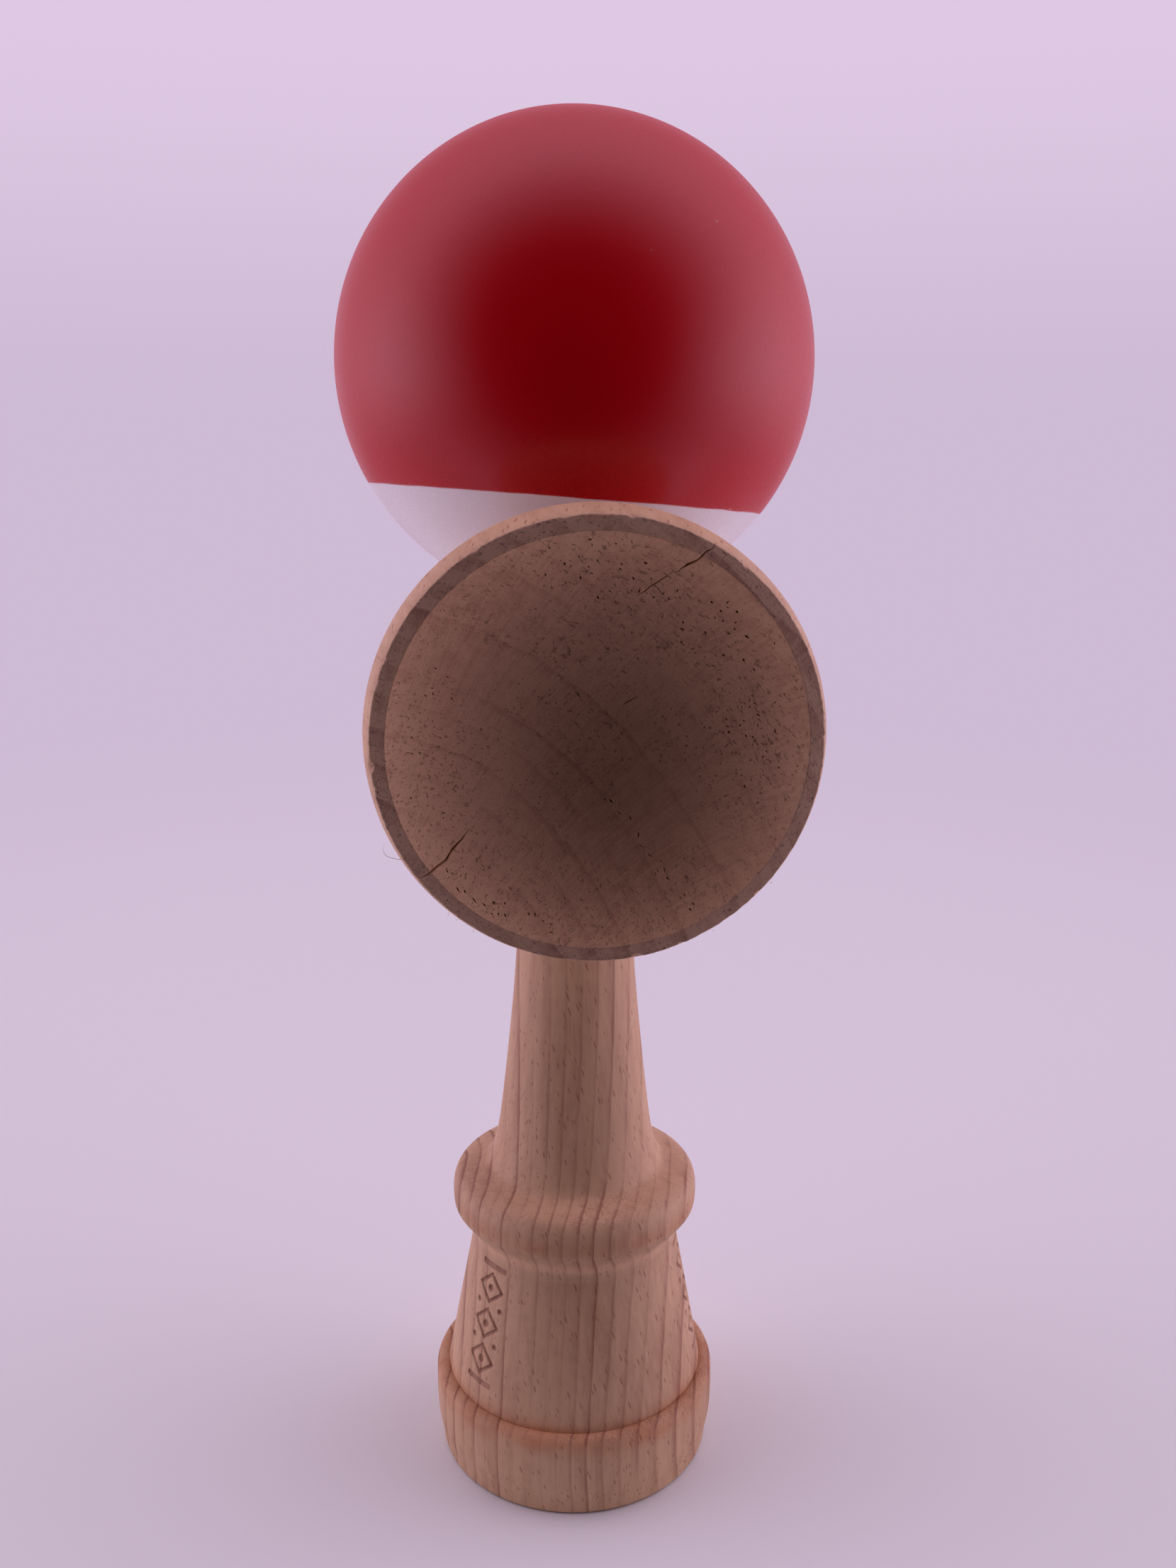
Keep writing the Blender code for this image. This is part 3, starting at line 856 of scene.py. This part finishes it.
def make_ken(material):
    """The handle, with a finer mesh where the ornaments are burnt in."""
    fine = [(math.degrees(a) - 17, math.degrees(a) + 17, 0.4) for a in ORNAMENTS]
    outline = ken_outline()
    body = [p for p in outline if GROOVE_HEIGHT < p[1] < BODY_TOP + 0.1 and p[0] > 14]
    rest_before = outline[: outline.index(body[0])]
    rest_after = outline[outline.index(body[-1]) + 1 :]
    outline = [*rest_before, *dense(body, ORNAMENT_SPACING), *rest_after]
    ken = revolve("ken_turned", outline, columns(KEN_SIDES, fine), shape_ken)
    level, reach = SARADO_HEIGHT / MM, 2 * SEAT_RADIUS
    hole = round_cutter(STRING_HOLE_RADIUS, STRING_HOLE_RADIUS, (-reach, 0, level), (reach, 0, level))
    cut_all(ken, [hole])
    smooth(ken)
    ken.data.materials.append(material)
    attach(ken, "ken")
    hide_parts("ken")


# ---------------------------------------------------------------- sarado


def dish_height(x, y):
    """The height of the big cup's face along the sarado's own axis, at (x, y) in its frame."""
    if math.hypot(x, y) > BIG_CUP_LIP:
        return BIG_CUP_REACH
    radius = (BIG_CUP_LIP**2 + BIG_CUP_DEPTH**2) / (2 * BIG_CUP_DEPTH)
    return BIG_CUP_REACH - BIG_CUP_DEPTH + radius - math.sqrt(radius**2 - x * x - y * y)


def ragged_wedge(start, end, width, depth, rng, wander=0.20):
    """Corners and faces of a thin jagged wedge sunk in the big cup's face between two points."""
    length = math.dist(start, end)
    steps = max(3, round(length / 0.6))
    share = np.linspace(0, 1, steps + 1)
    line = np.outer(1 - share, start) + np.outer(share, end)
    side = np.array([start[1] - end[1], end[0] - start[0]]) / length
    drift = np.cumsum(rng.uniform(-wander, wander, steps + 1))
    line = line + np.outer(drift - share * drift[-1], side)
    taper = np.clip(np.minimum(share / 0.3, (1 - share) / 0.3), 0.15, 1)
    half = 0.5 * width * taper * rng.uniform(0.7, 1.25, steps + 1)
    corners = []
    for (x, y), h in zip(line, half):
        face = dish_height(x, y)
        for offset, level in ((1.8, 0.5), (-1.8, 0.5), (-0.25, -depth), (0.25, -depth)):
            spot = (x + side[0] * h * offset, y + side[1] * h * offset, face + level)
            corners.append(tuple(c * MM for c in spot))
    last = 4 * steps
    faces = [(3, 2, 1, 0), (last, last + 1, last + 2, last + 3)]
    for a in range(0, last, 4):
        faces += [(a + j, a + (j + 1) % 4, a + 4 + (j + 1) % 4, a + 4 + j) for j in range(4)]
    return corners, faces


def wedge_cutter(wedges):
    """One cutter from many wedges."""
    points, faces = [], []
    for corners, sides in wedges:
        faces += [tuple(i + len(points) for i in side) for side in sides]
        points += corners
    cutter = mesh_object("cutter", points, faces)
    shape = bmesh.new()
    shape.from_mesh(cutter.data)
    bmesh.ops.recalc_face_normals(shape, faces=shape.faces)
    shape.to_mesh(cutter.data)
    shape.free()
    return cutter


def polar(angle, radius):
    """The point this far out at an angle in degrees."""
    turn = math.radians(angle)
    return radius * math.cos(turn), radius * math.sin(turn)


def pit_wedges():
    """Small torn pits, most of them across the growth layers, along the rows named in TORN."""
    rng = np.random.default_rng(61)
    wedges, taken = [], []
    for start, end, count, size, spread in TORN:
        a, b = np.array(polar(*start)), np.array(polar(*end))
        for share in np.sort(rng.uniform(0, 1, count)):
            middle = a + (b - a) * share + rng.normal(0, spread, 2)
            turn = rng.normal(math.radians(-52), 0.45)
            reach = 0.5 * size * rng.uniform(0.5, 1.3)
            crowded = any(math.dist(middle, m) < reach + r + 0.2 for m, r in taken)
            if crowded or math.hypot(*middle) > BIG_CUP_LIP - 0.5:
                continue
            taken.append((middle, reach))
            half = reach * np.array([math.cos(turn), math.sin(turn)])
            width = 0.20 * rng.uniform(0.6, 1.4)
            wedges.append(ragged_wedge(middle - half, middle + half, width, 0.4, rng, 0.04))
    return wedges


def shape_sarado(radius, angle, height):
    """A slightly uneven outside, a chipped edge round the big cup, and the flat rims' extent."""
    place = np.stack([radius * np.cos(angle), radius * np.sin(angle), height], -1)
    edge = BIG_CUP_REACH - LIP_BEVEL
    uneven = 0.035 * waves(place, seed=15, length=22.0)
    ring_place = np.stack([24 * np.cos(angle), 24 * np.sin(angle), np.sign(height)], -1)
    chips = np.clip(waves(ring_place, seed=17, length=2.2) - 0.55, 0, 1) * 0.55
    chips = chips + 0.04 * waves(ring_place, seed=18, length=0.9) + 0.04
    near_edge = np.exp(-(((height - edge) / 0.45) ** 2)) * (radius > BIG_CUP_RIM - 0.6)
    outside = (radius > WAIST_RADIUS - 0.5) & (np.abs(height) < edge + 0.1)
    changed = radius + np.where(outside, np.clip(uneven, -0.07, 0.0), 0.0) - chips * near_edge
    # The flat rims marked here are tinted darker and greyer by the material, which is painted shade
    inner = BIG_CUP_LIP + 0.09 * waves(ring_place, seed=19, length=5.0)
    rim = np.clip((radius - inner) / 0.12, 0, 1) * (height > edge - 0.12)
    small_rim = (radius - SMALL_CUP_LIP) / 0.12
    small = np.clip(small_rim, 0, 1) * (height < LIP_BEVEL + 0.12 - SMALL_CUP_REACH)
    return changed, height, {"rim": np.maximum(rim, small)}


def loose_fibres(material):
    """A hair of torn fibre and a few short splinters at the edge of the big cup."""
    rng = np.random.default_rng(33)
    points, faces = [], []
    for angle, length, thick, curl in FIBRES:
        root = np.array([*polar(angle, BIG_CUP_RIM + 0.1), BIG_CUP_REACH - 0.55])
        out = np.array([*polar(angle, 1.0), 0.0])
        side = np.array([-out[1], out[0], 0.0])
        first = len(points)
        sides, steps = 6, 9
        for i in range(steps + 1):
            share = i / steps
            centre = root + side * curl * length * share + out * 0.5 * length * math.sin(2.4 * share)
            centre = centre + np.array([0, 0, -0.25 * length * share]) + rng.normal(0, 0.012, 3)
            size = thick * (1 - 0.8 * share)
            for k in range(sides):
                turn = 2 * math.pi * k / sides
                spot = centre + size * (math.cos(turn) * out + math.sin(turn) * np.array([0, 0, 1.0]))
                points.append(tuple(spot * MM))
        for i in range(steps):
            for k in range(sides):
                a, b = first + i * sides + k, first + i * sides + (k + 1) % sides
                faces.append((a, b, b + sides, a + sides))
        faces.append(tuple(range(first + sides - 1, first - 1, -1)))
        faces.append(tuple(range(first + steps * sides, first + (steps + 1) * sides)))
    fibres = mesh_object("sarado_loose_fibres", points, faces)
    smooth(fibres)
    fibres.data.materials.append(material)
    return fibres


def make_sarado(material):
    """The cross-piece: bored for the handle and the string, its big cup cracked and pitted."""
    sarado = revolve("sarado_turned", sarado_outline(), columns(SARADO_SIDES), shape_sarado)
    reach = 1.5 * WAIST_RADIUS
    level = SARADO_HEIGHT / MM

    def bore(height):
        share = (height - SEAT_FOOT) / (SPIKE_FOOT - SEAT_FOOT)
        return SEAT_RADIUS + (SPIKE_FOOT_RADIUS - SEAT_RADIUS) * share + GAP

    cutters = [
        round_cutter(bore(level - reach), bore(level + reach), (0, -reach, 0), (0, reach, 0)),
        round_cutter(STRING_HOLE_RADIUS, STRING_HOLE_RADIUS, (0, 0, 0), (2 * WAIST_RADIUS, 0, 0)),
    ]
    rng = np.random.default_rng(40)
    for start, end, width, depth in CRACKS:
        cutters.append(wedge_cutter([ragged_wedge(polar(*start), polar(*end), width, depth, rng)]))
    cutters.append(wedge_cutter(pit_wedges()))
    cut_all(sarado, cutters)
    smooth(sarado)
    sarado.data.materials.append(material)
    stand = Matrix.Translation((0, 0, SARADO_HEIGHT)) @ Matrix.Rotation(math.radians(90), 4, "X")
    for piece in (sarado, loose_fibres(material)):
        piece.matrix_world = stand
        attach(piece, "sarado")
    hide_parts("sarado")


# ---------------------------------------------------------------- tama and bead


def shape_tama(radius, angle, height):
    """The red coat stands a hair proud of the white, and both end at the bevel of the mouth."""
    outer = np.hypot(radius, height) > TAMA_RADIUS - 0.05
    place = np.stack([radius * np.cos(angle), radius * np.sin(angle), height], -1)
    swell = 0.02 * waves(place, seed=21, length=30.0) - 0.03
    coat = np.where(height > PAINT_LINE, 0.0, -PAINT_STEP) + swell
    scale = np.where(outer, 1 + coat / TAMA_RADIUS, 1.0)
    return radius * scale, height * scale, {}


def make_tama(paint_material, bore_material):
    """The ball, painted outside and bare wood in its bore and chamber."""
    tama = revolve("tama_turned", tama_outline(), columns(TAMA_SIDES), shape_tama, closed=True)
    smooth(tama)
    tama.data.materials.append(paint_material)
    tama.data.materials.append(bore_material)
    inner = (TAMA_RADIUS - 1.0) * MM
    for face in tama.data.polygons:
        middle = face.center
        bare = middle.length < inner and math.hypot(middle.x, middle.y) < (BORE_RADIUS + 0.3) * MM
        face.material_index = int(bare)
    lean(tama, TAMA_CENTRE, TAMA_AXIS)
    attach(tama, "tama")
    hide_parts("tama")


def make_bead(material):
    """The bead that holds the string's end, at the top of the ball's chamber."""
    bead = revolve("swivel_bead_turned", bead_outline(), columns(BEAD_SIDES), closed=True)
    smooth(bead)
    bead.data.materials.append(material)
    lean(bead, TAMA_CENTRE + TAMA_AXIS * (CHAMBER_END - GAP - BEAD_LENGTH / 2) * MM, TAMA_AXIS)
    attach(bead, "swivel_bead")
    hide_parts("swivel_bead")


# ---------------------------------------------------------------- camera, light and floor


def make_camera():
    """The camera, turned by its heading, then tipped down, then rolled."""
    camera = bpy.data.objects.new("camera", bpy.data.cameras.new("camera"))
    camera.data.lens = CAMERA_LENS
    camera.data.sensor_width = 36.0
    camera.data.clip_start = 0.01
    heading = Matrix.Rotation(math.radians(-CAMERA_HEADING), 4, "Z")
    down = Matrix.Rotation(math.radians(90 - CAMERA_DOWN), 4, "X")
    roll = Matrix.Rotation(math.radians(CAMERA_ROLL), 4, "Z")
    camera.matrix_world = Matrix.Translation(CAMERA_PLACE) @ heading @ down @ roll
    bpy.context.scene.collection.objects.link(camera)
    bpy.context.scene.camera = camera


def make_light():
    """A soft white tent, bright at the sides, top and back, and open and dark at the front.

    The camera sees a plain backdrop in its place, which turns a little lighter upwards.
    """
    bpy.context.scene.view_settings.view_transform = "Standard"
    world = bpy.data.worlds.new("tent")
    bpy.context.scene.world = world
    world.use_nodes = True
    world.node_tree.nodes.clear()
    s = Nodes(world.node_tree)
    way = s.node("ShaderNodeTexCoord").outputs["Generated"]
    _, y, z = s.split(way)

    facing = s.vector("DOT_PRODUCT", way, tuple(Vector(TENT_OPENING).normalized()))
    opening = s.step(
        s.calc("ARCCOSINE", facing), math.radians(TENT_DARK_UNTIL), math.radians(TENT_BRIGHT_FROM)
    )
    above = s.ramp(z, 0.0, 0.65, TENT_SIDE, TENT_TOP)
    below = s.ramp(z, -0.45, 0.0, TENT_BELOW - TENT_SIDE, 0.0)
    back = s.ramp(y, 0.0, 0.85, 1.0, TENT_BACK / TENT_SIDE)
    light = s.node("ShaderNodeBackground")
    light.inputs["Color"].default_value = (*TENT_COLOUR, 1.0)
    strength = s.calc("MULTIPLY", s.calc("ADD", above, below), back)
    s.feed(light.inputs["Strength"], s.calc("MULTIPLY", opening, strength))

    seen = s.node("ShaderNodeBackground")
    s.feed(seen.inputs["Color"], s.mix(s.step(z, 0.0, 0.24), BACKDROP_LOW, BACKDROP_HIGH))
    pick = s.node("ShaderNodeMixShader")
    s.feed(pick.inputs[0], s.node("ShaderNodeLightPath").outputs["Is Camera Ray"])
    s.feed(pick.inputs[1], light.outputs[0])
    s.feed(pick.inputs[2], seen.outputs[0])
    s.feed(s.node("ShaderNodeOutputWorld").inputs[0], pick.outputs[0])


def make_floor():
    """A round pale floor at the toy's foot."""
    bpy.ops.mesh.primitive_circle_add(vertices=96, radius=FLOOR_RADIUS, fill_type="NGON")
    floor = bpy.context.object
    floor.name = "floor"
    floor.data.materials.append(plain_stage("floor", FLOOR_COLOUR))


def main():
    make_camera()
    make_light()
    make_floor()
    make_ken(wood("ken_beech", (-50.0, 2.0), 2.15, KEN_END_TONE, pits=0.4))
    make_sarado(wood("sarado_beech", (-45.0, -47.0), 3.4, END_TONE, lines=0.22, seed=40.0))
    bore_wood = wood("tama_wood", (30.0, 44.0), 2.2, END_TONE, seed=80.0)
    make_tama(paint("tama_paint"), bore_wood)
    make_bead(wood("bead_wood", (9.0, 5.0), 1.2, END_TONE, seed=120.0))


main()
